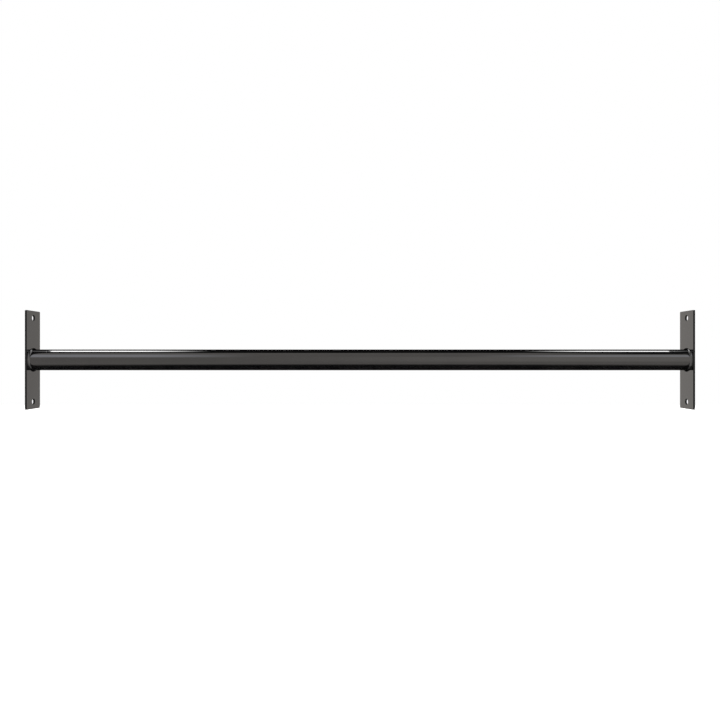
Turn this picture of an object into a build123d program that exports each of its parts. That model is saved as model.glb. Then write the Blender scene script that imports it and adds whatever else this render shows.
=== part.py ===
from build123d import *

import os

# A straight pull-up bar: a round steel tube welded between two flat end plates, each drilled for
# a bolt near its top and near its bottom.
#
# Millimetres. +X runs along the bar to its right-hand end, +Z is up and -Y is the front. The
# origin is the centre of the bar, on the tube's axis and midway between the plates.

# Driving dimensions
tube_length = 1000.0
tube_diameter = 32.0
tube_wall = 2.5
plate_width = 40.0
plate_height = 150.0
plate_thickness = 3.0
plate_corner_radius = 1.5
plate_edge_radius = 0.2
bolt_hole_diameter = 9.0  # a clearance hole for an M8 bolt
bolt_hole_spacing = 128.0
bolt_hole_edge_break = 0.1
weld_leg_on_tube = 2.6
weld_leg_on_plate = 2.2
weld_crown = 0.3  # how far the bead bulges past a straight line between its two toes

# Worked out from them
tube_radius = tube_diameter / 2
half_tube_length = tube_length / 2
bolt_hole_radius = bolt_hole_diameter / 2

os.makedirs("parts", exist_ok=True)

# The tube that the hands hold. Its square-cut ends stand against the plates, which close it.
with BuildPart() as grip_tube:
    with BuildSketch(Plane.YZ.offset(-half_tube_length)):
        Circle(tube_radius)
        Circle(tube_radius - tube_wall, mode=Mode.SUBTRACT)
    extrude(amount=tube_length)
grip_tube.part.label = "grip_tube"
export_step(grip_tube.part, "parts/grip_tube.step")

# The two ends are alike. The sign is that of the end's X, so it points away from the bar.
for side, sign in (("left", -1), ("right", 1)):
    inner_face = Plane.YZ.offset(sign * half_tube_length)

    # A flat plate across the end of the tube, with every outer edge eased.
    with BuildPart() as end_plate:
        with BuildSketch(inner_face):
            RectangleRounded(plate_width, plate_height, plate_corner_radius)
        extrude(amount=sign * plate_thickness)
        fillet(end_plate.edges().filter_by(Plane.YZ), plate_edge_radius)
        with Locations(inner_face):
            with GridLocations(0, bolt_hole_spacing, 1, 2):
                Hole(bolt_hole_radius)
        hole_walls = end_plate.faces().filter_by(lambda face: face.radius == bolt_hole_radius)
        hole_rims = hole_walls.edges().filter_by(GeomType.CIRCLE)
        chamfer(hole_rims, bolt_hole_edge_break)
    end_plate.part.label = f"{side}_end_plate"
    export_step(end_plate.part, f"parts/{side}_end_plate.step")

    # The fillet weld, right round the tube in the corner between it and the plate.
    root = Vector(sign * half_tube_length, tube_radius)
    toe_on_tube = root - Vector(sign * weld_leg_on_tube, 0)
    toe_on_plate = root + Vector(0, weld_leg_on_plate)
    outward = Vector(-sign * weld_leg_on_plate, weld_leg_on_tube).normalized()
    crown = (toe_on_tube + toe_on_plate) / 2 + outward * weld_crown
    with BuildPart() as weld:
        with BuildSketch(Plane.XZ):
            with BuildLine():
                Polyline(toe_on_tube, root, toe_on_plate)
                ThreePointArc(toe_on_plate, crown, toe_on_tube)
            make_face()
        revolve(axis=Axis.X)
    weld.part.label = f"{side}_weld"
    export_step(weld.part, f"parts/{side}_weld.step")
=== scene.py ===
import math
import random

import bmesh
import bpy
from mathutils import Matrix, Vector


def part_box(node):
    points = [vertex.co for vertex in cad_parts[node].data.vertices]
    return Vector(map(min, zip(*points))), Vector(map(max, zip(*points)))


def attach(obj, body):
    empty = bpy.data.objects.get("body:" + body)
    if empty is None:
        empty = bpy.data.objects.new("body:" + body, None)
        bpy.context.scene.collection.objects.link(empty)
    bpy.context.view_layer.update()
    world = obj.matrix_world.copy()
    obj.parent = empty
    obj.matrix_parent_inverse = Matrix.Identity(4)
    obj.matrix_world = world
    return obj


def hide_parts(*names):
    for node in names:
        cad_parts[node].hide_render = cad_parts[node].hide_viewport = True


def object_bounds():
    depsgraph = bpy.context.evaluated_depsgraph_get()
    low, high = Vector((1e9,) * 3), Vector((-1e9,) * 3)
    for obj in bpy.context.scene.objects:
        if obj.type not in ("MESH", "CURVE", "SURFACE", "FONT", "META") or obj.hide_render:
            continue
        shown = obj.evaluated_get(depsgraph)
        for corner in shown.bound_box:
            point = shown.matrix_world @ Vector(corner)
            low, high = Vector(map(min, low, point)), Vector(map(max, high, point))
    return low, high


# A gloss black pull-up bar. The drilled end plates are the CAD solids with a coating on them. The
# tube is made again with a finer mesh, and each plain weld ring becomes a bead with ripples.

MM = 0.001
BODY = "root"

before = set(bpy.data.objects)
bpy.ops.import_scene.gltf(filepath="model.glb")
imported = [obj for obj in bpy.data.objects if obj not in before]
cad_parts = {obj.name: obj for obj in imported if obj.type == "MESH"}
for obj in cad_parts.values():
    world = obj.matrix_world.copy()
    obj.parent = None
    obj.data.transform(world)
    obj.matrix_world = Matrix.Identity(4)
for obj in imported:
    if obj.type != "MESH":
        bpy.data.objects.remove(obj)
cad_low, cad_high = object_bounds()

# Sizes, read from the CAD solids
_, tube_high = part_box("grip_tube")
tube_radius = tube_high.z
half_tube_length = tube_high.x
tube_wall = 2.5 * MM  # as in the CAD solid, whose box doesn't show it

# The camera stands level with the bar and square to it
CAMERA_DISTANCE = 0.9838
CAMERA_LENS = 32.115
CAMERA_HEIGHT = -0.15 * MM


# ---------------------------------------------------------------- node helpers


def new_material(name):
    """A material with only a Principled shader and its output. Returns it with its nodes."""
    material = bpy.data.materials.new(name)
    material.use_nodes = True
    tree = material.node_tree
    tree.nodes.clear()
    output = tree.nodes.new("ShaderNodeOutputMaterial")
    shader = tree.nodes.new("ShaderNodeBsdfPrincipled")
    tree.links.new(shader.outputs["BSDF"], output.inputs["Surface"])
    return material, tree, shader


def noise(tree, coordinates, scale, detail=2.0, roughness=0.5):
    """A noise texture. Its scale is in features per metre."""
    node = tree.nodes.new("ShaderNodeTexNoise")
    node.inputs["Scale"].default_value = scale
    node.inputs["Detail"].default_value = detail
    node.inputs["Roughness"].default_value = roughness
    tree.links.new(coordinates, node.inputs["Vector"])
    return node.outputs["Fac"]


def spread(tree, value, low_in, high_in, low_out, high_out):
    """Carries one range of a value over to another, and stops at its ends."""
    node = tree.nodes.new("ShaderNodeMapRange")
    tree.links.new(value, node.inputs["Value"])
    node.inputs["From Min"].default_value = low_in
    node.inputs["From Max"].default_value = high_in
    node.inputs["To Min"].default_value = low_out
    node.inputs["To Max"].default_value = high_out
    return node.outputs["Result"]


def maths(tree, operation, first, second=0):
    """One arithmetic step. Either value may be a socket or a number."""
    node = tree.nodes.new("ShaderNodeMath")
    node.operation = operation
    for socket, value in zip(node.inputs, (first, second)):
        if isinstance(value, (int, float)):
            socket.default_value = value
        else:
            tree.links.new(value, socket)
    return node.outputs["Value"]


def ramp(tree, value, low_colour, high_colour):
    """Blends from one colour at 0 to another at 1."""
    node = tree.nodes.new("ShaderNodeValToRGB")
    for element, place, colour in zip(node.color_ramp.elements, (0.0, 1.0), (low_colour, high_colour)):
        element.position = place
        element.color = (*colour, 1.0)
    tree.links.new(value, node.inputs["Fac"])
    return node.outputs["Color"]


# ------------------------------------------------------------------- materials


# How fine the patterns in the coating are, in features per metre
WEAR_SCALE = 260
TONE_SCALE = 35
CLOUD_SCALE = 22
DUST_SCALE = 1900
PEEL_SCALE = 620
GRIT_SCALE = 2600

DARK_TONE = (0.0018, 0.0018, 0.0020)
LIGHT_TONE = (0.0032, 0.0031, 0.0032)
WORN_COLOUR = (0.030, 0.030, 0.032, 1.0)
WORN_SHARE = 0.35
WORN_ROUGHNESS = 0.04
DUST_ROUGHNESS = 0.06
GRIT_SHARE = 0.18
BEVEL_SAMPLES = 6
EDGE_AGREEMENT = (0.99, 0.86)  # the cosines between which a place starts and ends to count as an edge
CUT_FACING = (0.7, 0.3)  # how far along the bar a plate's surface faces, where it turns into a cut
CUT_ROUGHNESS = 0.3
CUT_SPECULAR = 0.05
INDEX_OF_REFRACTION = 1.5


def gloss_coating(name, peel_depth, roughness_low, roughness_high, edge_radius, dull_cuts=False):
    """Gloss black coating on steel: an orange-peel skin, uneven gloss, fine dust and thin edges.

    With dull_cuts, surfaces that don't face along the bar, which on a plate are its sides and the
    walls of its holes, have a thin and dull coat.
    """
    material, tree, shader = new_material(name)
    texture_places = tree.nodes.new("ShaderNodeTexCoord")
    coordinates = texture_places.outputs["Object"]

    # A rounded-off normal leaves the true one by the most on a sharp edge
    rounded = tree.nodes.new("ShaderNodeBevel")
    rounded.samples = BEVEL_SAMPLES
    rounded.inputs["Radius"].default_value = edge_radius
    true_normal = tree.nodes.new("ShaderNodeNewGeometry").outputs["Normal"]
    agreement = tree.nodes.new("ShaderNodeVectorMath")
    agreement.operation = "DOT_PRODUCT"
    tree.links.new(rounded.outputs["Normal"], agreement.inputs[0])
    tree.links.new(true_normal, agreement.inputs[1])
    edge = spread(tree, agreement.outputs["Value"], *EDGE_AGREEMENT, 0.0, 1.0)
    patches = noise(tree, coordinates, WEAR_SCALE, detail=4.0, roughness=0.65)
    patchy = spread(tree, patches, 0.42, 0.62, 0.0, 1.0)
    worn = maths(tree, "MULTIPLY", edge, patchy)

    # Colour: almost even, a little greyer where the coating is thin
    tone = spread(tree, noise(tree, coordinates, TONE_SCALE, detail=3.0), 0.35, 0.65, 0.0, 1.0)
    body_colour = ramp(tree, tone, DARK_TONE, LIGHT_TONE)
    mix = tree.nodes.new("ShaderNodeMix")
    mix.data_type = "RGBA"
    tree.links.new(maths(tree, "MULTIPLY", worn, WORN_SHARE), mix.inputs["Factor"])
    tree.links.new(body_colour, mix.inputs["A"])
    mix.inputs["B"].default_value = WORN_COLOUR
    tree.links.new(mix.outputs["Result"], shader.inputs["Base Color"])

    # Gloss: cloudy over centimetres, with finer handling marks and scattered dust
    clouds = noise(tree, coordinates, CLOUD_SCALE, detail=4.0, roughness=0.6)
    cloud = spread(tree, clouds, 0.3, 0.7, roughness_low, roughness_high)
    specks = noise(tree, coordinates, DUST_SCALE, detail=1.0)
    dust = spread(tree, specks, 0.72, 0.80, 0.0, DUST_ROUGHNESS)
    worn_roughness = maths(tree, "MULTIPLY", worn, WORN_ROUGHNESS)
    gloss = maths(tree, "ADD", cloud, maths(tree, "ADD", dust, worn_roughness))
    if dull_cuts:
        facing = tree.nodes.new("ShaderNodeSeparateXYZ")
        tree.links.new(texture_places.outputs["Normal"], facing.inputs["Vector"])
        along = maths(tree, "ABSOLUTE", facing.outputs["X"])
        cut = spread(tree, along, *CUT_FACING, 0.0, 1.0)
        gloss = maths(tree, "ADD", gloss, maths(tree, "MULTIPLY", cut, CUT_ROUGHNESS))
        full_specular = shader.inputs["Specular IOR Level"].default_value
        specular = spread(tree, cut, 0.0, 1.0, full_specular, CUT_SPECULAR)
        tree.links.new(specular, shader.inputs["Specular IOR Level"])
    tree.links.new(gloss, shader.inputs["Roughness"])

    # Skin: the orange peel of a sprayed and baked coat, about a millimetre and a half across
    peel = noise(tree, coordinates, PEEL_SCALE, roughness=0.45)
    grit = noise(tree, coordinates, GRIT_SCALE, detail=1.0)
    skin = maths(tree, "ADD", peel, maths(tree, "MULTIPLY", grit, GRIT_SHARE))
    bump = tree.nodes.new("ShaderNodeBump")
    bump.inputs["Strength"].default_value = 1.0
    bump.inputs["Distance"].default_value = peel_depth
    tree.links.new(skin, bump.inputs["Height"])
    tree.links.new(bump.outputs["Normal"], shader.inputs["Normal"])

    shader.inputs["IOR"].default_value = INDEX_OF_REFRACTION
    return material


# ---------------------------------------------------------------------- meshes


def piece_from(name, mesh_maker, material, *stands_for):
    """Puts a bmesh into the scene as a smooth-shaded piece in place of CAD nodes."""
    shape = bmesh.new()
    mesh_maker(shape)
    bmesh.ops.recalc_face_normals(shape, faces=shape.faces)
    mesh = bpy.data.meshes.new(name)
    shape.to_mesh(mesh)
    shape.free()
    mesh.materials.append(material)
    piece = bpy.data.objects.new(name, mesh)
    bpy.context.scene.collection.objects.link(piece)
    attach(piece, BODY)
    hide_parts(*stands_for)
    return piece


def ring_at(shape, x, radius, count):
    """A ring of points round the bar's axis."""
    turns = (math.tau * step / count for step in range(count))
    return [shape.verts.new((x, radius * math.cos(turn), radius * math.sin(turn))) for turn in turns]


def join_rings(shape, rings):
    """Skins a closed chain of rings, the last one back to the first."""
    for ring, following in zip(rings, rings[1:] + rings[:1]):
        for step, corner in enumerate(ring):
            onward = (step + 1) % len(ring)
            face = shape.faces.new((corner, ring[onward], following[onward], following[step]))
            face.smooth = True


TUBE_SIDES = 288
TUBE_SPANS = 40


def fill_tube(shape):
    """The whole tube with its bore: outside from left to right, then inside back again."""
    stations = [half_tube_length * (2 * span / TUBE_SPANS - 1) for span in range(TUBE_SPANS + 1)]
    outside = [ring_at(shape, x, tube_radius, TUBE_SIDES) for x in stations]
    inside = [ring_at(shape, x, tube_radius - tube_wall, TUBE_SIDES) for x in reversed(stations)]
    join_rings(shape, outside + inside)
    for edge in shape.edges:
        ends = {round(abs(vertex.co.x), 6) for vertex in edge.verts}
        along = abs(edge.verts[0].co.x - edge.verts[1].co.x) > 1e-6
        edge.smooth = along or ends != {round(half_tube_length, 6)}


BEAD_SIDES = 960
BEAD_STEPS = 14
RIPPLES = 58  # the dabs of weld metal laid down in one trip round the tube
RIPPLE_HEIGHT = 0.085 * MM
RIPPLE_BOW = 0.45  # how many ripples the middle of the bead trails behind its two toes
RIPPLE_WANDER = 1.4  # how far the ripples stray from even steps, where one ripple is 2 pi
RIPPLE_LEVEL = 0.6  # how much of a ripple's height lies below the crown's curve
CROWN_VARIATION = 0.25
OVERLAP_TURN = 0.11  # how far the bead is laid over itself at its start, in radians
OVERLAP_RISE = 0.5
TOE_WANDER = 0.14 * MM
SINK = 0.12 * MM  # how far the bead's toes go below the steel on each side


def waves(dice, count, lowest, highest):
    """A smooth wander round the ring, from a few sine waves. It repeats after a whole turn."""
    terms = []
    for _ in range(count):
        times = dice.randint(lowest, highest)
        start = dice.uniform(0, math.tau)
        size = dice.uniform(0.5, 1)
        terms.append((times, start, size))
    total = sum(term[2] for term in terms)

    def wander(turn):
        return sum(size * math.sin(times * turn + start) for times, start, size in terms) / total

    return wander


def bead_filler(side, leg_on_tube, leg_on_plate, crown, seed):
    """Makes the function that builds one weld bead. side is -1 at the left end and 1 at the right."""
    dice = random.Random(seed)
    tube_toe_wander = waves(dice, 5, 3, 19)
    plate_toe_wander = waves(dice, 5, 3, 19)
    pace = waves(dice, 4, 2, 9)
    weight = waves(dice, 4, 5, 23)
    start_turn = dice.uniform(0, math.tau)

    def fill(shape):
        turns = [math.tau * step / BEAD_SIDES for step in range(BEAD_SIDES)]
        rings = []
        for step in range(BEAD_STEPS + 1):
            across = step / BEAD_STEPS
            ring = []
            for turn in turns:
                on_tube = leg_on_tube + TOE_WANDER * tube_toe_wander(turn) + SINK
                on_plate = leg_on_plate + TOE_WANDER * plate_toe_wander(turn) + SINK
                inward = on_tube * (1 - across)
                outward = on_plate * across
                arch = math.sin(math.pi * across)
                # The bead starts and stops at one place, where it is laid over itself
                apart = math.remainder(turn - start_turn, math.tau)
                overlap = math.exp(-((apart / OVERLAP_TURN) ** 2))
                phase = RIPPLES * turn + RIPPLE_WANDER * pace(turn) - math.tau * RIPPLE_BOW * arch
                crest = abs(math.sin(phase / 2)) - RIPPLE_LEVEL
                swell = 1 + CROWN_VARIATION * weight(turn) + OVERLAP_RISE * overlap
                rise = arch * (crown * swell + RIPPLE_HEIGHT * crest)
                slant = math.hypot(on_tube, on_plate)
                back = -SINK + inward + rise * on_plate / slant
                out = tube_radius - SINK + outward + rise * on_tube / slant
                x = side * (half_tube_length - back)
                ring.append(shape.verts.new((x, out * math.cos(turn), out * math.sin(turn))))
            rings.append(ring)
        # The root of the weld, inside the corner, closes the ring
        rings.append(ring_at(shape, side * (half_tube_length + SINK), tube_radius - SINK, BEAD_SIDES))
        join_rings(shape, rings)

    return fill


# ------------------------------------------------------------------ the object

tube_coating = gloss_coating(
    "tube_coating",
    peel_depth=0.0005 * MM,
    roughness_low=0.015,
    roughness_high=0.045,
    edge_radius=0.4 * MM,
)
plate_coating = gloss_coating(
    "plate_coating",
    peel_depth=0.0005 * MM,
    roughness_low=0.015,
    roughness_high=0.045,
    edge_radius=0.3 * MM,
    dull_cuts=True,
)
weld_coating = gloss_coating(
    "weld_coating",
    peel_depth=0.0020 * MM,
    roughness_low=0.060,
    roughness_high=0.130,
    edge_radius=0.3 * MM,
)

piece_from("tube", fill_tube, tube_coating, "grip_tube")

WELD_CROWN = 0.3 * MM  # as in the CAD solid
for side_name, side, seed in (("left", -1, 11), ("right", 1, 29)):
    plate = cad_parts[f"{side_name}_end_plate"]
    plate.material_slots[0].material = plate_coating
    weld_low, weld_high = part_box(f"{side_name}_weld")
    leg_on_tube = weld_high.x - weld_low.x
    leg_on_plate = weld_high.z - tube_radius
    bead = bead_filler(side, leg_on_tube, leg_on_plate, WELD_CROWN, seed)
    piece_from(f"{side_name}_weld_bead", bead, weld_coating, f"{side_name}_weld")


# ------------------------------------------------------------------- the stage

FLOOR_DROP = 0.85
FLOOR_SIZE = 24.0
FLOOR_GLOW = 0.75


def make_floor():
    """A plain pale floor, well below the bar, which hangs in the air as it does on a wall."""
    shape = bmesh.new()
    bmesh.ops.create_grid(shape, x_segments=8, y_segments=8, size=FLOOR_SIZE / 2)
    bmesh.ops.translate(shape, verts=shape.verts, vec=Vector((0, 0, cad_low.z - FLOOR_DROP)))
    mesh = bpy.data.meshes.new("floor")
    shape.to_mesh(mesh)
    shape.free()
    material, tree, shader = new_material("pale_floor")
    shader.inputs["Base Color"].default_value = (0.85, 0.85, 0.85, 1.0)
    shader.inputs["Roughness"].default_value = 0.9
    shader.inputs["Emission Color"].default_value = (1.0, 1.0, 1.0, 1.0)
    shader.inputs["Emission Strength"].default_value = FLOOR_GLOW
    mesh.materials.append(material)
    floor = bpy.data.objects.new("floor", mesh)
    floor.visible_glossy = False
    bpy.context.scene.collection.objects.link(floor)


# The studio that the gloss reflects is a few large soft lights, with darkness between and below
# them. A light spans angles round the bar, in degrees: 0 is level in front, 90 is overhead and 180
# is level behind. It also spans slopes along the bar: 0 is square to it, and 1 is 45 degrees off
# towards its right-hand end. A light on both sides spans the same slopes towards each end.
WHITE = (1.0, 1.0, 1.0)
COOL = (0.95, 1.0, 1.15)
WARM = (1.05, 1.0, 0.95)
NO_END = 1000.0
NEAREST_TO_AXIS = 0.002  # keeps the slope finite for a look straight along the bar

# name, sides, angles, softness of their ends, slopes, softness of their ends, brightness, tint
STUDIO_LIGHTS = (
    ("front_wall", "one", (-90, 82), (1, 4), (-NO_END, 0.35), (0.1, 0.1), 1.4, WARM),
    ("front_right_wall", "one", (-90, 65), (1, 6), (0.35, NO_END), (0.1, 0.1), 1.4, WARM),
    ("front_right_fill", "one", (-18, 34), (10, 10), (0.05, NO_END), (0.3, 0.1), 0.6, WARM),
    ("front_left_box", "one", (30, 60), (8, 12), (-0.65, -0.25), (0.1, 0.1), 2.2, COOL),
    ("front_right_box", "one", (34, 54), (8, 8), (0.25, 0.65), (0.1, 0.1), 2.0, COOL),
    ("overhead_left_box", "one", (102, 120), (2, 3), (-0.50, -0.29), (0.02, 0.06), 15.0, WHITE),
    ("overhead_right_box", "one", (103, 118), (2, 3), (0.31, 0.50), (0.06, 0.02), 14.0, WHITE),
    ("left_side_box", "one", (102, 122), (2, 4), (-2.5, -0.50), (1.0, 0.02), 2.0, WHITE),
    ("right_side_box", "one", (102, 122), (2, 4), (0.50, 2.5), (0.02, 1.0), 4.0, WHITE),
    ("end_walls", "both", (-90, 270), (1, 1), (1.0, NO_END), (0.3, 1.0), 0.8, WHITE),
    ("back_left_wall", "one", (174, 198), (2, 8), (-0.57, -0.20), (0.03, 0.1), 1.3, WARM),
    ("back_wall", "one", (174, 198), (2, 8), (-0.20, 0.57), (0.1, 0.03), 0.95, WARM),
)
FLOOR_LINE = -50  # how far below level the dark floor starts, whichever way one looks
FLOOR_LINE_SOFTNESS = 0.13


def soft_step(tree, value, middle, softness, rising=True):
    """0 on one side of a place and 1 on the other, eased over the softness to each side of it."""
    node = tree.nodes.new("ShaderNodeMapRange")
    node.interpolation_type = "SMOOTHSTEP"
    tree.links.new(value, node.inputs["Value"])
    node.inputs["From Min"].default_value = middle - softness
    node.inputs["From Max"].default_value = middle + softness
    node.inputs["To Min"].default_value = 0.0 if rising else 1.0
    node.inputs["To Max"].default_value = 1.0 if rising else 0.0
    return node.outputs["Result"]


def soft_band(tree, value, first, last, first_softness, last_softness):
    """1 between two places and 0 outside them, with soft ends."""
    start = soft_step(tree, value, first, first_softness)
    stop = soft_step(tree, value, last, last_softness, rising=False)
    return maths(tree, "MULTIPLY", start, stop)


def add_scaled(tree, total, colour, amount):
    """Adds one light's colour, times its amount, to the running total."""
    scaled = tree.nodes.new("ShaderNodeVectorMath")
    scaled.operation = "SCALE"
    scaled.inputs[0].default_value = colour
    tree.links.new(amount, scaled.inputs["Scale"])
    if total is None:
        return scaled.outputs["Vector"]
    added = tree.nodes.new("ShaderNodeVectorMath")
    added.operation = "ADD"
    tree.links.new(total, added.inputs[0])
    tree.links.new(scaled.outputs["Vector"], added.inputs[1])
    return added.outputs["Vector"]


def make_studio():
    """White all round for the camera. What the gloss reflects is the soft lights over a dark floor."""
    world = bpy.data.worlds.new("studio")
    bpy.context.scene.world = world
    world.use_nodes = True
    tree = world.node_tree
    tree.nodes.clear()
    direction = tree.nodes.new("ShaderNodeTexCoord").outputs["Generated"]
    split = tree.nodes.new("ShaderNodeSeparateXYZ")
    tree.links.new(direction, split.inputs["Vector"])
    x, y, z = (split.outputs[axis] for axis in "XYZ")
    squares = maths(tree, "ADD", maths(tree, "MULTIPLY", y, y), maths(tree, "MULTIPLY", z, z))
    from_axis = maths(tree, "MAXIMUM", maths(tree, "POWER", squares, 0.5), NEAREST_TO_AXIS)
    slope = maths(tree, "DIVIDE", x, from_axis)
    steepness = maths(tree, "ABSOLUTE", slope)
    # The full turn is cut at -90, straight down, where everything is dark
    from_zenith = maths(tree, "MULTIPLY", maths(tree, "ARCTAN2", y, z), 180 / math.pi)
    angle = maths(tree, "ADD", from_zenith, 90.0)

    total = None
    for _, sides, angles, angle_ends, slopes, slope_ends, brightness, tint in STUDIO_LIGHTS:
        round_bar = soft_band(tree, angle, *angles, *angle_ends)
        measure = steepness if sides == "both" else slope
        along_bar = soft_band(tree, measure, *slopes, *slope_ends)
        amount = maths(tree, "MULTIPLY", round_bar, along_bar)
        total = add_scaled(tree, total, tuple(brightness * share for share in tint), amount)

    above_floor = soft_step(tree, z, math.sin(math.radians(FLOOR_LINE)), FLOOR_LINE_SOFTNESS)

    reflected = tree.nodes.new("ShaderNodeBackground")
    tree.links.new(total, reflected.inputs["Color"])
    tree.links.new(above_floor, reflected.inputs["Strength"])
    seen = tree.nodes.new("ShaderNodeBackground")
    seen.inputs["Color"].default_value = (1.0, 1.0, 1.0, 1.0)
    choice = tree.nodes.new("ShaderNodeMixShader")
    tree.links.new(tree.nodes.new("ShaderNodeLightPath").outputs["Is Camera Ray"], choice.inputs["Fac"])
    tree.links.new(reflected.outputs["Background"], choice.inputs[1])
    tree.links.new(seen.outputs["Background"], choice.inputs[2])
    output = tree.nodes.new("ShaderNodeOutputWorld")
    tree.links.new(choice.outputs["Shader"], output.inputs["Surface"])


def make_camera():
    camera_data = bpy.data.cameras.new("camera")
    camera_data.lens = CAMERA_LENS
    camera_data.sensor_width = 36.0
    camera = bpy.data.objects.new("camera", camera_data)
    camera.location = (0.0, -CAMERA_DISTANCE, CAMERA_HEIGHT)
    camera.rotation_euler = (math.radians(90), 0.0, 0.0)
    bpy.context.scene.collection.objects.link(camera)
    bpy.context.scene.camera = camera


bpy.context.scene.view_settings.view_transform = "Standard"
make_floor()
make_studio()
make_camera()
